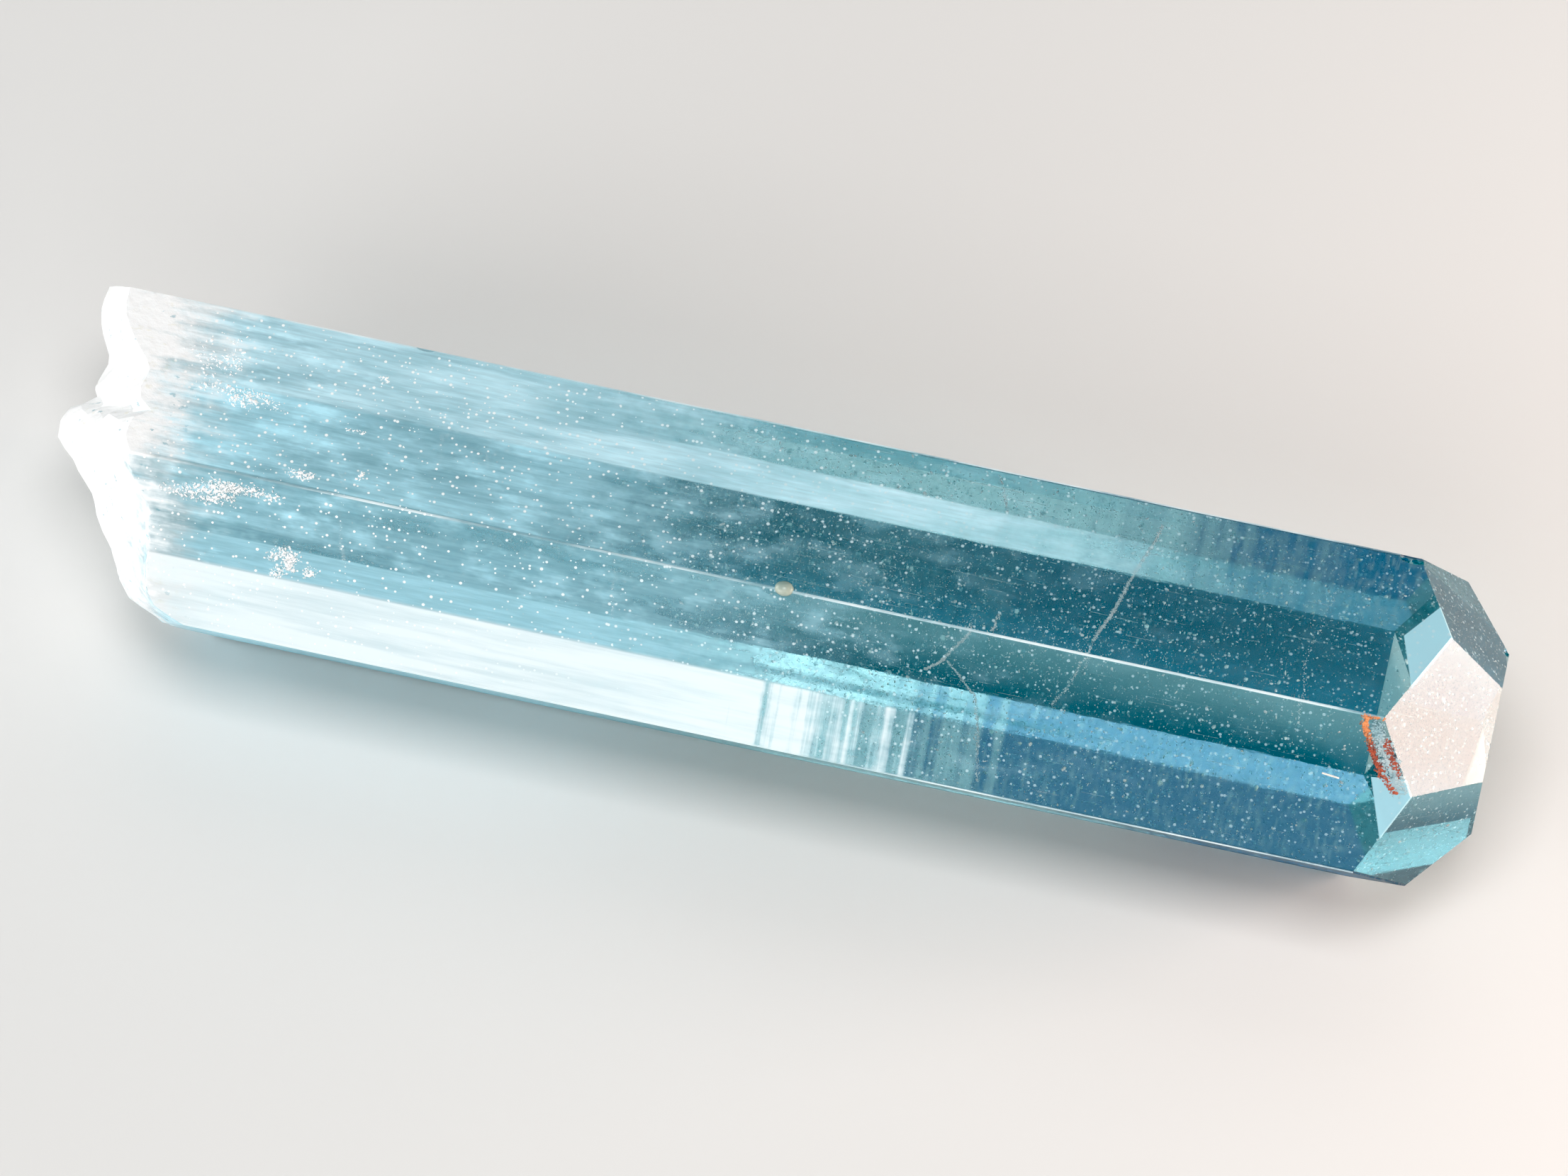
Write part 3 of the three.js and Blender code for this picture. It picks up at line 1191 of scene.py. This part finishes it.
def make_painted_shadow_card():
    """Painted shadow: a dark card that the crystal lies on and hides, paler at its rear
    and front.
    """
    low, high = SHADOW_CARD_SPAN
    middle = (SHADOW_CARD_MIDDLE * MM, (high + low) / 2 * MM, SHADOW_CARD_AT)
    painted_shadow_card, tree, coat = plane("painted_shadow_card", 1.0, middle)
    painted_shadow_card.scale = (SHADOW_CARD_LENGTH * MM, (high - low) * MM, 1)
    bpy.ops.object.transform_apply(location=True, rotation=True, scale=True)
    axes = node(tree, "SeparateXYZ")
    tree.links.new(use_group(tree, "crystal place")["Spot"], axes.inputs[0])
    rear = ramp(tree, axes.outputs["Y"], 4.8, 7.9)
    fore = ramp(tree, axes.outputs["Y"], 0.9, 3.0, 1.0, 0.0)
    # Painted shadow: deep teal in the middle, paler at the rear and front.
    deep, pale, front = SHADOW_CARD_COLOURS
    painted_shadow = blend(tree, fore, blend(tree, rear, deep, pale), front)
    tree.links.new(painted_shadow, coat.inputs["Base Color"])
    coat.inputs["Roughness"].default_value = 0.95


def make_studio():
    """A dim, even surround and the lights."""
    world = bpy.data.worlds.new("studio")
    bpy.context.scene.world = world
    world.use_nodes = True
    background = world.node_tree.nodes["Background"]
    background.inputs["Color"].default_value = (*WHITE, 1.0)
    background.inputs["Strength"].default_value = SURROUND
    for light in LIGHTS:
        softbox(*light)


def make_camera(settings):
    """The camera, which looks at the front edge with the crystal on a slope."""
    optics = bpy.data.cameras.new("camera")
    optics.lens = settings.lens
    optics.sensor_fit = "HORIZONTAL"
    optics.sensor_width = 36.0
    optics.clip_start = 0.01
    optics.clip_end = 20.0
    camera = bpy.data.objects.new("camera", optics)
    bpy.context.scene.collection.objects.link(camera)
    distance = settings.view_width * settings.lens / optics.sensor_width
    right = ALONG * math.cos(settings.roll) + ACROSS * math.sin(settings.roll)
    lift = -ALONG * math.sin(settings.roll) + ACROSS * math.cos(settings.roll)
    sideways = math.atan2(CAMERA_AHEAD, distance)
    view = (NEAR * math.cos(sideways) + ALONG * math.sin(sideways)).normalized()
    up = (lift - view * lift.dot(view)).normalized()
    origin = AXIS + right * VIEW_SHIFT + view * distance
    turned = Matrix((up.cross(view), up, view)).transposed()
    camera.matrix_world = Matrix.Translation(origin) @ turned.to_4x4()
    bpy.context.scene.camera = camera


class AQUA_OT_stage(Operator):
    """Make the floor, the painted shadow card under the crystal, the lights and the camera
    """

    bl_idname = "aqua.stage"
    bl_label = "Stage"

    def execute(self, context):
        settings = context.scene.aqua_stage
        make_floor(settings.floor_colour)
        make_painted_shadow_card()
        make_studio()
        make_camera(settings)
        look = context.scene.view_settings
        look.view_transform = "Standard"
        look.use_curve_mapping = True
        look.curve_mapping.black_level = BLACK_LEVEL
        look.curve_mapping.update()
        return {"FINISHED"}


class AQUA_PT_panel(Panel):
    """Lists the steps that build the crystal"""

    bl_label = "Aquamarine"
    bl_idname = "AQUA_PT_panel"
    bl_space_type = "VIEW_3D"
    bl_region_type = "UI"
    bl_category = "Aquamarine"

    def draw(self, context):
        for step in STEPS:
            self.layout.operator(step.bl_idname)


STEPS = (
    AQUA_OT_crystal,
    AQUA_OT_haze,
    AQUA_OT_flakes,
    AQUA_OT_tubes,
    AQUA_OT_veils,
    AQUA_OT_clouds,
    AQUA_OT_stain,
    AQUA_OT_grain,
    AQUA_OT_stage,
)
CLASSES = (CrystalSettings, StageSettings, *STEPS, AQUA_PT_panel)


def register():
    """Adds the classes and the settings."""
    for cls in CLASSES:
        bpy.utils.register_class(cls)
    bpy.types.Scene.aqua_crystal = PointerProperty(type=CrystalSettings)
    bpy.types.Scene.aqua_stage = PointerProperty(type=StageSettings)


def unregister():
    """Takes them away again."""
    del bpy.types.Scene.aqua_stage
    del bpy.types.Scene.aqua_crystal
    for cls in reversed(CLASSES):
        bpy.utils.unregister_class(cls)


def main():
    """Builds everything."""
    register()
    bpy.ops.aqua.crystal()
    bpy.ops.aqua.haze()
    bpy.ops.aqua.flakes()
    bpy.ops.aqua.tubes()
    bpy.ops.aqua.veils()
    bpy.ops.aqua.clouds()
    bpy.ops.aqua.stain()
    bpy.ops.aqua.grain()
    bpy.ops.aqua.stage()


if __name__ == "__main__":
    main()
